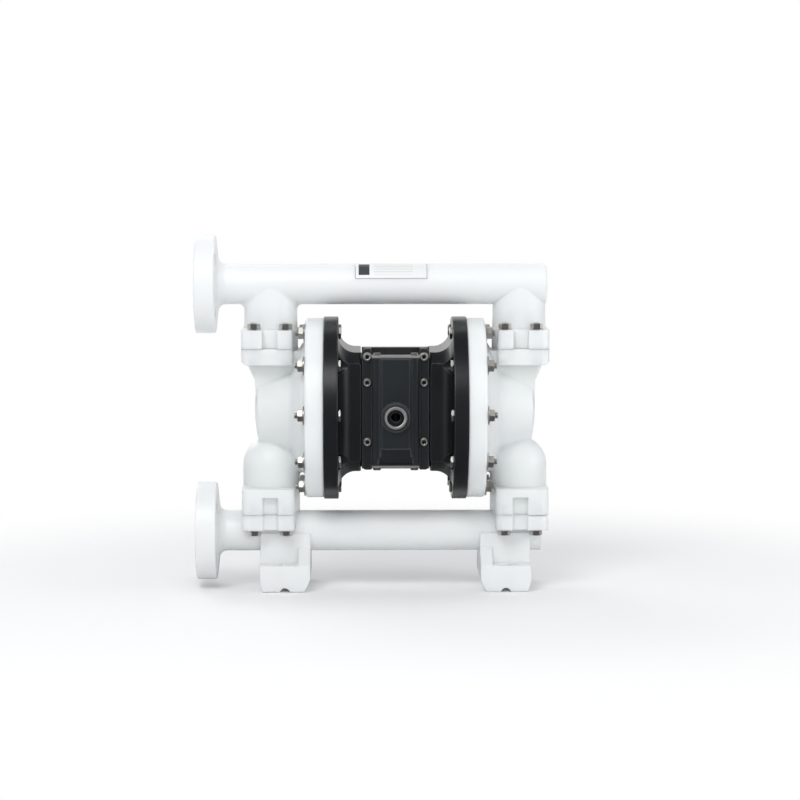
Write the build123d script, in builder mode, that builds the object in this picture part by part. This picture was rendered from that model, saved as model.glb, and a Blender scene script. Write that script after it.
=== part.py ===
from build123d import *
import os
from math import copysign, cos, radians, sin, sqrt

os.makedirs("parts", exist_ok=True)

# Air operated double diaphragm pump, 1 1/2 inch, plastic wet end.
# Millimetres. X runs along the pump's axis, Y to the back, Z up. The origin is on the floor,
# in the middle of the foot bolts. Heights named *_rise, *_drop and *_level are measured from
# the pump's axis, and *_reach from the middle of the pump along X.

# --- Main axes ---------------------------------------------------------------------------
axis_height = 276.0        # pump axis above the floor
port_reach = 190.0         # vertical axes of the four ball valves
discharge_rise = 190.0     # discharge pipe above the pump axis
suction_drop = 190.0       # suction pipe below the pump axis
split_reach = 108.7        # plane where the two halves clamp a diaphragm

# --- Pipes and their bolting flanges -----------------------------------------------------
pipe_radius = 31.0
pipe_bore_radius = 18.5
pipe_end_round = 7.0
discharge_end_reach = 232.0
suction_end_reach = 224.0
pipe_end_wall = 20.0
flange_face_reach = 304.0
flange_radius = 75.0
flange_thickness = 30.0
flange_draft = 5.0         # how much thicker the flange is at its neck
flange_neck_round = 12.0
flange_bolt_circle = 110.0
flange_bolt_count = 4
flange_hole_radius = 9.0
port_bore_radius = 20.0
port_bore_depth = 62.0

# --- Ball valves -------------------------------------------------------------------------
ball_radius = 22.5
ball_seat_gap = 0.05       # lapped seat to ball
ball_lift = 13.0
ball_stop_gap = 0.5
ball_rib_gap = 0.8
cage_radius = 30.0
cage_rib_width = 6.0
cage_stop_height = 7.0
cage_stop_hole = 9.0
seat_radius = 34.0
seat_height = 10.0
seat_mouth_radius = 21.0
seat_bore_radius = 18.0
seat_fit_gap = 0.1
seat_ring_section = 1.5    # radius of the O-ring's section
outlet_radius = 24.0

# --- Joints between the caps and the manifolds -------------------------------------------
joint_depth = 124.0        # along Y
joint_corner = 11.0
joint_outer = 43.5         # block beyond the port axis, away from the pump
joint_bolt_x = 24.0
joint_bolt_y = 50.0
joint_hole_radius = 5.5
joint_pocket_width = 23.0
joint_pocket_round = 4.0
discharge_joint = 93.7     # level of the joint plane
discharge_inner = 34.5     # block towards the pump
discharge_cap_flange = 24.0
discharge_pipe_flange = 29.0
discharge_pocket_depth = 16.0
discharge_bevel = 6.0      # height of the bevel under the cap's flange
suction_joint = -159.0
suction_inner = 36.7
suction_cap_flange = 39.6
suction_pipe_flange = 23.4
suction_pocket_depth = 9.0
suction_pocket_roof = 13.0 # solid band above the pocket of the cap
port_tube_radius = 41.5
port_tube_top_radius = 39.5
port_tube_top_depth = 30.0
port_throat_radius = 18.0
port_blend = 8.0           # between the left port and the pipe

# --- Fluid caps --------------------------------------------------------------------------
fluid_rim_radius = 137.6
fluid_rim_thickness = 28.0
fluid_rim_round = 4.0
bowl_radius = 103.5        # where the bowl meets the rim
bowl_brim_reach = 143.0
bowl_brim_radius = 98.0
bowl_shoulder_reach = 158.0
bowl_shoulder_radius = 68.0
bowl_face_reach = 215.0
bowl_face_sag = 6.0
bowl_face_edge = 50.0
cap_wall = 11.0
column_half_depth = 37.0
column_round = 14.0
column_top_level = 90.0
column_reach = 23.0        # column beyond the port axis, at its waist
column_lip_reach = 12.0    # how much further it leans out under the joint
bulb_radius = 43.5
bulb_crown_level = -88.0
bulb_blend = 4.0           # between the bulb and the bowl
inlet_passage_radius = 18.0
inlet_passage_level = -74.0
outlet_passage_radius = 22.0
outlet_passage_level = 58.0

# --- Air caps ----------------------------------------------------------------------------
air_rim_step = 2.4         # how far the black rim stands out past the white one
air_rim_thickness = 22.2
air_rim_round = 2.0
hub_reach = 52.4
hub_half_height = 90.0
hub_half_depth = 85.0
hub_flare = 27.0
air_chamber_radius = 74.0  # at its floor
hub_end_wall = 10.0
spot_face_radius = 12.0

# --- Diaphragm set -----------------------------------------------------------------------
rod_radius = 12.5
rod_stroke = 18.0          # each way from the middle
rod_running_gap = 0.05
diaphragm_edge_gap = 4.5   # between its edge and the rim bolt holes
diaphragm_thickness = 5.0
diaphragm_grip_width = 21.0    # width of the clamped rim
diaphragm_bulge = 7.0
diaphragm_plate_radius = 60.0
inner_plate_thickness = 8.0
outer_plate_thickness = 14.0
plate_edge_round = 4.0
rod_screw_radius = 6.0
rod_screw_length = 46.0
rod_screw_head_radius = 11.0
rod_screw_head_height = 8.0
screw_hole_gap = 0.2

# --- Centre body -------------------------------------------------------------------------
air_gasket_thickness = 1.4
body_back = 70.0
body_pad_front = -62.0
body_pad_thickness = 18.0
body_top_level = 80.0
body_bottom_level = -84.0
body_round = 8.0
rod_bush_radius = 18.0
rod_bush_length = 24.0
rod_bush_collar_radius = 23.0
rod_bush_collar = 4.0
collar_gap = 0.2
rod_seal_height = 7.0
rod_bore_radius = 15.0
pilot_level = 36.0
pilot_radius = 5.0
pilot_stroke = 5.0         # each way from the middle
pilot_end_gap = 0.5        # left between a plate and the rod at both ends of their travel
pilot_sleeve_radius = 9.0
pilot_running_gap = 0.03
pilot_hole_gap = 1.0
exhaust_level = -7.0
exhaust_hole_radius = 12.3
exhaust_hole_depth = 30.0
muffler_radius = 21.0
muffler_length = 62.0
muffler_grip = 16.0
muffler_hex = 30.0
muffler_hex_height = 10.0
muffler_rib_count = 5
muffler_rib_width = 3.0
muffler_rib_depth = 3.0

# --- Valve block -------------------------------------------------------------------------
valve_gasket_thickness = 1.0
valve_half_width = 50.5
valve_flange_thickness = 14.0
valve_flange_top = 97.0
valve_flange_bottom = -87.0
valve_flange_corner = 6.0
tower_half_width = 35.6
tower_top = 82.5
tower_bottom = -78.5
tower_front = -90.0
tower_round = 5.0
panel_half_width = 23.0
panel_front = -97.0
panel_bottom = -54.0
panel_round = 3.0
toe_slope = 7.0            # how far the face falls back below the panel
inlet_level = -6.0
inlet_boss_radius = 22.5
inlet_boss_front = -104.0
inlet_bush_radius = 17.0
inlet_bush_front = -107.0
inlet_bush_length = 16.0
inlet_hole_radius = 12.3
inlet_throat_radius = 7.0
spool_axis = -75.5         # place of the spool's axis along Y
sleeve_radius = 10.5
spool_radius = 8.5
spool_waist_radius = 5.5
spool_land = 12.0
spool_sliding_gap = 0.03
spool_stroke = 16.0
spool_end_gap = 0.3
plate_gasket_thickness = 1.0
end_plate_thickness = 3.0
end_plate_back = -64.0
end_plate_front = -92.0
end_plate_overhang = 0.6   # of the plates past the sides of the tower
plate_notch_gap = 0.2
plate_bolt_x = 28.2
plate_bolt_y = -84.0

# --- Fasteners ---------------------------------------------------------------------------
rim_bolt_count = 10
rim_bolt_margin = 14.6     # from the bolts' centres out to the white rim's edge
rim_hole_radius = 5.5
bolt_radius = 5.0
bolt_head_height = 6.4
bolt_across_flats = 17.0
bolt_end = 4.5             # thread standing out of the nut
nut_height = 8.0
rim_washer_radius = 14.5
rim_washer_thickness = 2.5
joint_washer_radius = 10.5
joint_washer_thickness = 2.0
joint_head_pocket = 7.4    # depth of the hexagonal pockets that hold the upper bolts' heads
joint_head_gap = 0.2
insert_radius = 8.0        # threaded inserts for the lower bolts, moulded into the caps
insert_height = 15.0
insert_relief = 3.0        # free depth past the lower bolts' ends
thread_gap = 0.05
screw_clearance = 0.3
valve_screw_x = 42.8
valve_screw_levels = (84.0, 45.0, -45.0)
valve_screw_radius = 4.0
valve_screw_head_radius = 6.3
valve_screw_head_height = 5.0
valve_screw_socket = 5.0
valve_screw_grip = 14.0
plate_screw_radius = 3.0
plate_screw_flats = 10.0
plate_screw_head_height = 4.0
plate_screw_grip = 14.0
hub_screw_y = 40.0
hub_screw_z = 44.0
hub_screw_radius = 4.0
hub_screw_head_radius = 6.5
hub_screw_head_height = 8.0
hub_screw_grip = 20.0

# --- Feet --------------------------------------------------------------------------------
foot_inner_reach = 129.8
foot_outer_reach = 206.7
foot_half_depth = 66.0
foot_pad_height = 40.0
foot_web_half_depth = 34.0
foot_gusset_width = 18.5
foot_gusset_rise = 25.0    # how far the gusset climbs above the pad
foot_inner_bevel = (9.2, 18.5)
foot_outer_bevel = (4.6, 15.0)
foot_arch_radius = 8.0
foot_arch_height = 6.0
foot_hole_radius = 7.0
foot_hole_y = 50.0

# --- Worked out from the above -----------------------------------------------------------
ports = (-port_reach, port_reach)
fluid_rim_face = split_reach + fluid_rim_thickness
air_rim_face = split_reach - air_rim_thickness
air_rim_radius = fluid_rim_radius + air_rim_step
hub_corner_radius = air_rim_radius - hub_flare
rim_bolt_radius = fluid_rim_radius - rim_bolt_margin
diaphragm_radius = rim_bolt_radius - rim_hole_radius - diaphragm_edge_gap
diaphragm_grip = diaphragm_radius - diaphragm_grip_width
rod_half_length = split_reach - diaphragm_thickness / 2 - inner_plate_thickness
pilot_half_length = rod_half_length - rod_stroke - pilot_stroke - pilot_end_gap
ball_seat_rise = sqrt((ball_radius + ball_seat_gap) ** 2 - seat_mouth_radius ** 2)
cage_stop_rise = ball_seat_rise + ball_radius + ball_lift + ball_stop_gap
body_half_width = hub_reach - air_gasket_thickness
valve_back = body_pad_front - valve_gasket_thickness
valve_flange_front = valve_back - valve_flange_thickness
hub_floor = hub_reach + hub_end_wall
tower_length = tower_top - tower_bottom
end_plate_half_width = tower_half_width + end_plate_overhang


def across(x, level=0.0, y=0.0):
    """Plane square to the pump's axis at x. Its own x is +Y and its own y is +Z."""
    return Plane(origin=(x, y, level), x_dir=(0, 1, 0), z_dir=(1, 0, 0))


def level_plane(level, x=0.0, y=0.0):
    """Horizontal plane at a level above the pump's axis."""
    return Plane(origin=(x, y, level), x_dir=(1, 0, 0), z_dir=(0, 0, 1))


def upright(y=0.0, level=0.0, x=0.0):
    """Upright plane along the pump's axis. Its own x is +X, its own y is +Z, it faces -Y."""
    return Plane(origin=(x, y, level), x_dir=(1, 0, 0), z_dir=(0, -1, 0))


def lengthwise(level=0.0):
    """Line along X at a level above the pump's axis."""
    return Axis((0, 0, level), (1, 0, 0))


def save(builder, name):
    """Lift a finished piece to the pump's height above the floor, label it and write it."""
    piece = builder.part.moved(Location((0, 0, axis_height)))
    piece.label = name
    export_step(piece, f"parts/{name}.step")


def mirrored(builder, name):
    """The same piece for the other side of the pump."""
    with BuildPart() as other:
        mirror(builder.part, about=Plane.YZ)
    save(other, name)


# --- Shapes that several pieces share ----------------------------------------------------
def hexagon(across_flats):
    RegularPolygon(across_flats / 2, 6, major_radius=False)


def bolting_flange(level):
    """Drafted pipe flange with a rounded neck, turned about a pipe."""
    back = flange_thickness - flange_face_reach
    with BuildSketch(upright(0, level)) as profile:
        with BuildLine():
            FilletPolyline(
                (-flange_face_reach, 0),
                (-flange_face_reach, flange_radius),
                (back, flange_radius),
                (back + flange_draft, pipe_radius),
                (back + flange_draft + 2 * flange_neck_round, pipe_radius),
                (back + flange_draft + 2 * flange_neck_round, 0),
                radius=(0, 1.5, 3, flange_neck_round, 0, 0),
                close=True,
            )
        make_face()
    revolve(profile.sketch, axis=lengthwise(level))


def flange_holes(level):
    """Bolt holes of a pipe flange, straddling its centre lines."""
    with BuildSketch(across(-flange_face_reach, level)) as holes:
        with PolarLocations(flange_bolt_circle / 2, flange_bolt_count, 180 / flange_bolt_count):
            Circle(flange_hole_radius)
    depth = flange_thickness + flange_draft + flange_neck_round
    extrude(holes.sketch, amount=depth, mode=Mode.SUBTRACT)


def pipe_bore(level, end_reach):
    """Socket bore behind the flange face, then the pipe's own bore up to the last port."""
    with BuildSketch(across(-flange_face_reach, level)) as socket:
        Circle(port_bore_radius)
    extrude(socket.sketch, amount=port_bore_depth, mode=Mode.SUBTRACT)
    with BuildSketch(across(port_bore_depth - flange_face_reach, level)) as bore:
        Circle(pipe_bore_radius)
    length = flange_face_reach - port_bore_depth + end_reach - pipe_end_wall
    extrude(bore.sketch, amount=length, mode=Mode.SUBTRACT)


def joint_block(port, level, height, inner, corner=joint_corner):
    """Block of a bolted joint about a port axis, from a level up by height."""
    middle = copysign((joint_outer - inner) / 2, port)
    with BuildSketch(level_plane(level, port)) as outline:
        with Locations((middle, 0)):
            RectangleRounded(joint_outer + inner, joint_depth, corner)
    extrude(outline.sketch, amount=height)


def joint_pockets(port, level, height, depth):
    """Cored pockets in the front and back of a joint block, between its bolt bosses."""
    with BuildSketch(level_plane(level, port)) as pockets:
        with Locations((0, joint_depth / 2), (0, -joint_depth / 2)):
            RectangleRounded(joint_pocket_width, 2 * depth, joint_pocket_round)
    extrude(pockets.sketch, amount=height, mode=Mode.SUBTRACT)


def joint_holes(port, level, height):
    """The four bolt holes of one joint."""
    with BuildSketch(level_plane(level, port)) as holes:
        with GridLocations(2 * joint_bolt_x, 2 * joint_bolt_y, 2, 2):
            Circle(joint_hole_radius)
    extrude(holes.sketch, amount=height, mode=Mode.SUBTRACT)


def ball_cage(port, level):
    """Four moulded ribs that guide a ball above its seat, with stops over it."""
    reach = cage_radius + 1.5
    for turn in (45, 135, 225, 315):
        away = (cos(radians(turn)), sin(radians(turn)), 0)
        aside = (away[1], -away[0], 0)
        rib = Plane(origin=(port, 0, level), x_dir=away, z_dir=aside)
        with BuildSketch(rib) as profile:
            with BuildLine():
                Polyline(
                    (reach, 0),
                    (ball_radius + ball_rib_gap, 0),
                    (ball_radius + ball_rib_gap, cage_stop_rise),
                    (cage_stop_hole, cage_stop_rise),
                    (cage_stop_hole, cage_stop_rise + cage_stop_height),
                    (reach, cage_stop_rise + cage_stop_height),
                    close=True,
                )
            make_face()
        extrude(profile.sketch, amount=cage_rib_width / 2, both=True)


def seat_recess(port, level):
    """Counterbore that holds a valve seat flush with a joint plane."""
    with BuildSketch(level_plane(level - seat_height, port)) as recess:
        Circle(seat_radius + seat_fit_gap)
    extrude(recess.sketch, amount=seat_height, mode=Mode.SUBTRACT)


# --- Discharge manifold ------------------------------------------------------------------
with BuildPart() as discharge_manifold:
    for port in ports:
        # An oval under the pipe that fills out into a round socket at the joint.
        with BuildSketch(level_plane(discharge_joint, port)):
            Circle(port_tube_radius)
        with BuildSketch(level_plane(discharge_rise, port)):
            Ellipse(port_tube_top_radius, port_tube_top_depth)
        loft()
        joint_block(port, discharge_joint, discharge_pipe_flange, discharge_inner)
        joint_pockets(port, discharge_joint, discharge_pipe_flange, discharge_pocket_depth)
        with BuildSketch(level_plane(discharge_joint, port)):
            Circle(port_tube_radius)
        extrude(amount=discharge_pipe_flange)
    with BuildSketch(across(1 - flange_face_reach, discharge_rise)):
        Circle(pipe_radius)
    extrude(amount=flange_face_reach + discharge_end_reach - 1)
    # The left port flows into the pipe. The right one ends flush with the pipe's end.
    pipe_bottom = discharge_rise - pipe_radius
    creases = discharge_manifold.edges().filter_by(
        lambda edge: edge.length > 4 * port_tube_radius and abs(edge.center().Z - pipe_bottom) < 1
    )
    fillet(creases.sort_by(Axis.X)[0], port_blend)
    fillet(discharge_manifold.edges().filter_by(GeomType.CIRCLE).sort_by(Axis.X)[-1], pipe_end_round)
    bolting_flange(discharge_rise)
    flange_holes(discharge_rise)
    pipe_bore(discharge_rise, discharge_end_reach)
    for port in ports:
        cage_top = cage_stop_rise + cage_stop_height + ball_stop_gap
        with BuildSketch(level_plane(discharge_joint, port)):
            Circle(cage_radius)
        extrude(amount=cage_top, mode=Mode.SUBTRACT)
        with BuildSketch(level_plane(discharge_joint + cage_top, port)):
            Circle(outlet_radius)
        with BuildSketch(level_plane(discharge_rise, port)):
            Circle(port_throat_radius)
        loft(mode=Mode.SUBTRACT)
        ball_cage(port, discharge_joint)
        joint_holes(port, discharge_joint, discharge_pipe_flange)
save(discharge_manifold, "discharge_manifold")


# --- Suction manifold --------------------------------------------------------------------
def foot(side):
    """Moulded foot: a pad with an arched relief, a web up to the pipe and a gusset inside."""
    inner = side * foot_inner_reach
    outer = side * foot_outer_reach
    bevel_in, bevel_in_height = foot_inner_bevel
    bevel_out, bevel_out_height = foot_outer_bevel
    floor = -axis_height
    with BuildSketch(upright(0, floor)) as pad:
        with BuildLine():
            Polyline(
                (inner, foot_pad_height),
                (inner, bevel_in_height),
                (inner + side * bevel_in, 0),
                (outer - side * bevel_out, 0),
                (outer, bevel_out_height),
                (outer, foot_pad_height),
                close=True,
            )
        make_face()
    extrude(pad.sketch, amount=foot_half_depth, both=True)
    with BuildSketch(upright(0, floor)) as web:
        with BuildLine():
            Polyline(
                (inner, foot_pad_height),
                (inner, axis_height - suction_drop),
                (outer, axis_height - suction_drop),
                (outer, foot_pad_height),
                close=True,
            )
        make_face()
    extrude(web.sketch, amount=foot_web_half_depth, both=True)
    with BuildSketch(across(inner, floor)) as gusset:
        with BuildLine():
            Polyline(
                (-foot_half_depth, foot_pad_height),
                (-foot_web_half_depth, foot_pad_height + foot_gusset_rise),
                (foot_web_half_depth, foot_pad_height + foot_gusset_rise),
                (foot_half_depth, foot_pad_height),
                close=True,
            )
        make_face()
    extrude(gusset.sketch, amount=side * foot_gusset_width)
    with BuildSketch(upright(0, floor)) as arch:
        with Locations(((inner + outer) / 2, foot_arch_height - foot_arch_radius)):
            Circle(foot_arch_radius)
    extrude(arch.sketch, amount=foot_half_depth, both=True, mode=Mode.SUBTRACT)


foot_hole_reach = (foot_inner_reach + foot_gusset_width + foot_outer_reach) / 2

with BuildPart() as suction_manifold:
    for port in ports:
        joint_block(
            port, suction_joint - suction_pipe_flange, suction_pipe_flange, suction_inner
        )
        joint_pockets(
            port, suction_joint - suction_pipe_flange, suction_pipe_flange, suction_pocket_depth
        )
        with BuildSketch(level_plane(suction_joint, port)):
            Circle(bulb_radius)
        extrude(amount=-suction_pipe_flange)
        foot(copysign(1, port))
    with BuildSketch(across(1 - flange_face_reach, -suction_drop)):
        Circle(pipe_radius)
    extrude(amount=flange_face_reach + suction_end_reach - 1)
    fillet(suction_manifold.edges().filter_by(GeomType.CIRCLE).sort_by(Axis.X)[-1], pipe_end_round)
    bolting_flange(-suction_drop)
    flange_holes(-suction_drop)
    pipe_bore(-suction_drop, suction_end_reach)
    for port in ports:
        with BuildSketch(level_plane(suction_joint, port)):
            Circle(seat_bore_radius)
        extrude(amount=-(suction_drop + suction_joint), mode=Mode.SUBTRACT)
        seat_recess(port, suction_joint)
        joint_holes(port, suction_joint - suction_pipe_flange, suction_pipe_flange)
    with BuildSketch(level_plane(-axis_height)):
        with GridLocations(2 * foot_hole_reach, 2 * foot_hole_y, 2, 2):
            Circle(foot_hole_radius)
    extrude(amount=foot_pad_height, mode=Mode.SUBTRACT)
save(suction_manifold, "suction_manifold")

# --- Fluid caps --------------------------------------------------------------------------
with BuildPart() as fluid_cap:
    # Outlet column, from the waist of the bowl up to the joint, with a flat top to the rim.
    with BuildSketch(upright()):
        with BuildLine():
            Polyline(
                (fluid_rim_face - 5, column_top_level),
                (port_reach + column_reach, column_top_level),
                (port_reach + column_reach + column_lip_reach, discharge_joint - discharge_cap_flange),
                (port_reach + column_reach, column_top_level / 2),
                (port_reach + column_reach - 1, 0),
                (fluid_rim_face - 5, 0),
                close=True,
            )
        make_face()
    extrude(amount=column_half_depth, both=True)
    column_lip = port_reach + column_reach + column_lip_reach
    column_root = fluid_rim_face - 3 * column_round
    with BuildSketch(level_plane(0)):
        with Locations(((column_root + column_lip) / 2, 0)):
            RectangleRounded(column_lip - column_root, 2 * column_half_depth, column_round)
    extrude(amount=column_top_level, mode=Mode.INTERSECT)
    # Rim and bowl, turned about the pump's axis.
    with BuildSketch(upright()):
        with BuildLine():
            outline = FilletPolyline(
                (bowl_face_reach - bowl_face_sag, bowl_face_edge),
                (bowl_shoulder_reach, bowl_shoulder_radius),
                (bowl_brim_reach, bowl_brim_radius),
                (fluid_rim_face, bowl_radius),
                (fluid_rim_face, fluid_rim_radius),
                (split_reach, fluid_rim_radius),
                (split_reach, 0),
                (bowl_face_reach, 0),
                radius=(14, 8, 4, fluid_rim_round, 1, 0),
            )
            ThreePointArc(
                outline @ 1,
                (bowl_face_reach - bowl_face_sag / 4, bowl_face_edge / 2),
                outline @ 0,
            )
        make_face()
    revolve(axis=lengthwise())
    # Ball cage bulb under the bowl, turned about the port.
    with BuildSketch(upright(0, 0, port_reach)):
        with BuildLine():
            Polyline(
                (0, bulb_crown_level + bulb_radius),
                (0, suction_joint),
                (bulb_radius, suction_joint),
                (bulb_radius, bulb_crown_level),
            )
            RadiusArc(
                (bulb_radius, bulb_crown_level), (0, bulb_crown_level + bulb_radius), -bulb_radius
            )
        make_face()
    revolve(axis=Axis((port_reach, 0, 0), (0, 0, 1)))
    curved = fluid_cap.edges().filter_by(
        lambda edge: edge.geom_type not in (GeomType.CIRCLE, GeomType.LINE)
    )
    fillet(curved.filter_by(lambda edge: edge.center().Z < 0), bulb_blend)
    # Blocks of the two joints.
    joint_block(port_reach, suction_joint, suction_cap_flange, suction_inner)
    joint_pockets(
        port_reach, suction_joint, suction_cap_flange - suction_pocket_roof, suction_pocket_depth
    )
    with BuildSketch(level_plane(suction_joint, port_reach)):
        Circle(bulb_radius)
    extrude(amount=suction_cap_flange)
    joint_block(
        port_reach, discharge_joint - discharge_cap_flange, discharge_cap_flange, discharge_inner
    )
    with BuildSketch(upright()):
        with BuildLine():
            Polyline(
                (port_reach + joint_outer + 1, discharge_joint - discharge_cap_flange - 1),
                (port_reach + joint_outer + 1, discharge_joint + discharge_bevel - discharge_cap_flange),
                (
                    port_reach + joint_outer - 1.6 * discharge_bevel,
                    discharge_joint - discharge_cap_flange - 1,
                ),
                close=True,
            )
        make_face()
    extrude(amount=joint_depth, both=True, mode=Mode.SUBTRACT)
    with BuildSketch(level_plane(discharge_joint, port_reach)):
        Circle(port_tube_radius)
    extrude(amount=-discharge_cap_flange)
    # Chamber, the passages and the cage.
    with BuildSketch(upright()):
        with BuildLine():
            chamber = FilletPolyline(
                (bowl_face_reach - bowl_face_sag - cap_wall, bowl_face_edge - cap_wall),
                (bowl_shoulder_reach - cap_wall / 2, bowl_shoulder_radius - cap_wall),
                (bowl_brim_reach - cap_wall / 2, bowl_brim_radius - cap_wall),
                (split_reach + diaphragm_thickness / 2, diaphragm_grip),
                (split_reach + diaphragm_thickness / 2, 0),
                (bowl_face_reach - cap_wall, 0),
                radius=(8, 8, 0, 0),
            )
            ThreePointArc(
                chamber @ 1,
                (
                    bowl_face_reach - cap_wall - bowl_face_sag / 4,
                    (bowl_face_edge - cap_wall) / 2,
                ),
                chamber @ 0,
            )
        make_face()
    revolve(axis=lengthwise(), mode=Mode.SUBTRACT)
    with BuildSketch(across(split_reach)):
        Circle(diaphragm_radius)
    extrude(amount=diaphragm_thickness / 2, mode=Mode.SUBTRACT)
    with BuildSketch(upright(0, 0, port_reach)):
        with BuildLine():
            Polyline(
                (0, bulb_crown_level + cage_radius),
                (0, suction_joint),
                (cage_radius, suction_joint),
                (cage_radius, bulb_crown_level),
            )
            RadiusArc(
                (cage_radius, bulb_crown_level), (0, bulb_crown_level + cage_radius), -cage_radius
            )
        make_face()
    revolve(axis=Axis((port_reach, 0, 0), (0, 0, 1)), mode=Mode.SUBTRACT)
    with BuildSketch(across(split_reach + cap_wall, inlet_passage_level)):
        Circle(inlet_passage_radius)
    extrude(amount=port_reach - split_reach - cap_wall, mode=Mode.SUBTRACT)
    with BuildSketch(level_plane(discharge_joint, port_reach)):
        Circle(outlet_radius)
    extrude(amount=outlet_passage_level - discharge_joint, mode=Mode.SUBTRACT)
    with BuildSketch(across(split_reach + cap_wall, outlet_passage_level)):
        Circle(outlet_passage_radius)
    extrude(amount=port_reach - split_reach - cap_wall, mode=Mode.SUBTRACT)
    seat_recess(port_reach, discharge_joint)
    ball_cage(port_reach, suction_joint)
    joint_holes(port_reach, suction_joint, insert_height + insert_relief)
    with BuildSketch(level_plane(suction_joint, port_reach)):
        with GridLocations(2 * joint_bolt_x, 2 * joint_bolt_y, 2, 2):
            Circle(insert_radius)
    extrude(amount=insert_height, mode=Mode.SUBTRACT)
    with BuildSketch(level_plane(discharge_joint - discharge_cap_flange, port_reach)):
        with GridLocations(2 * joint_bolt_x, 2 * joint_bolt_y, 2, 2):
            hexagon(bolt_across_flats + 2 * joint_head_gap)
    extrude(amount=joint_head_pocket, mode=Mode.SUBTRACT)
    joint_holes(port_reach, discharge_joint - discharge_cap_flange, discharge_cap_flange)
    with BuildSketch(across(split_reach)):
        with PolarLocations(rim_bolt_radius, rim_bolt_count, 180):
            Circle(rim_hole_radius)
    extrude(amount=fluid_rim_thickness, mode=Mode.SUBTRACT)
save(fluid_cap, "fluid_cap_right")
mirrored(fluid_cap, "fluid_cap_left")


# --- Air caps ----------------------------------------------------------------------------
def flare_profile(half_size):
    """Section of the hub that sweeps out into the rim's back."""
    with BuildLine() as outline:
        FilletPolyline(
            (hub_reach, -half_size),
            (air_rim_face, -half_size),
            (air_rim_face, -half_size - hub_flare),
            (split_reach - 1, -half_size - hub_flare),
            (split_reach - 1, half_size + hub_flare),
            (air_rim_face, half_size + hub_flare),
            (air_rim_face, half_size),
            (hub_reach, half_size),
            radius=(0, hub_flare - 0.5, 0, 0, 0, 0, hub_flare - 0.5, 0),
            close=True,
        )
    make_face(outline.edges())


with BuildPart() as air_cap:
    with BuildSketch(upright()):
        flare_profile(hub_half_height)
    extrude(amount=air_rim_radius, both=True)
    with BuildSketch(level_plane(0)):
        flare_profile(hub_half_depth)
    extrude(amount=air_rim_radius, both=True, mode=Mode.INTERSECT)
    with BuildSketch(upright()):
        with BuildLine():
            FilletPolyline(
                (hub_reach, 0),
                (hub_reach, hub_corner_radius),
                (air_rim_face, hub_corner_radius),
                (air_rim_face, air_rim_radius - 1),
                (split_reach - 1, air_rim_radius - 1),
                (split_reach - 1, 0),
                radius=(0, 4, hub_flare - 2, 0, 0, 0),
                close=True,
            )
        make_face()
    revolve(axis=lengthwise(), mode=Mode.INTERSECT)
    with BuildSketch(upright()):
        with BuildLine():
            FilletPolyline(
                (air_rim_face, 0),
                (air_rim_face, air_rim_radius),
                (split_reach, air_rim_radius),
                (split_reach, 0),
                radius=(0, air_rim_round, 1, 0),
                close=True,
            )
        make_face()
    revolve(axis=lengthwise())
    # Air chamber, diaphragm seat, and the holes.
    with BuildSketch(upright()):
        with BuildLine():
            FilletPolyline(
                (hub_floor, 0),
                (hub_floor, air_chamber_radius),
                (split_reach - diaphragm_thickness / 2, diaphragm_grip),
                (split_reach - diaphragm_thickness / 2, diaphragm_radius),
                (split_reach, diaphragm_radius),
                (split_reach, 0),
                radius=(0, 6, 0, 0, 0, 0),
                close=True,
            )
        make_face()
    revolve(axis=lengthwise(), mode=Mode.SUBTRACT)
    with BuildSketch(across(hub_reach)):
        Circle(rod_bush_collar_radius + collar_gap)
        with Locations((0, pilot_level)):
            Circle(pilot_radius + pilot_hole_gap)
        with GridLocations(2 * hub_screw_y, 2 * hub_screw_z, 2, 2):
            Circle(hub_screw_radius + screw_clearance)
    extrude(amount=hub_end_wall, mode=Mode.SUBTRACT)
    with BuildSketch(across(hub_reach)):
        with PolarLocations(rim_bolt_radius, rim_bolt_count, 180):
            Circle(spot_face_radius)
    extrude(amount=air_rim_face - hub_reach, mode=Mode.SUBTRACT)
    with BuildSketch(across(air_rim_face)):
        with PolarLocations(rim_bolt_radius, rim_bolt_count, 180):
            Circle(rim_hole_radius)
    extrude(amount=air_rim_thickness, mode=Mode.SUBTRACT)
save(air_cap, "air_cap_right")
mirrored(air_cap, "air_cap_left")

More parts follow.
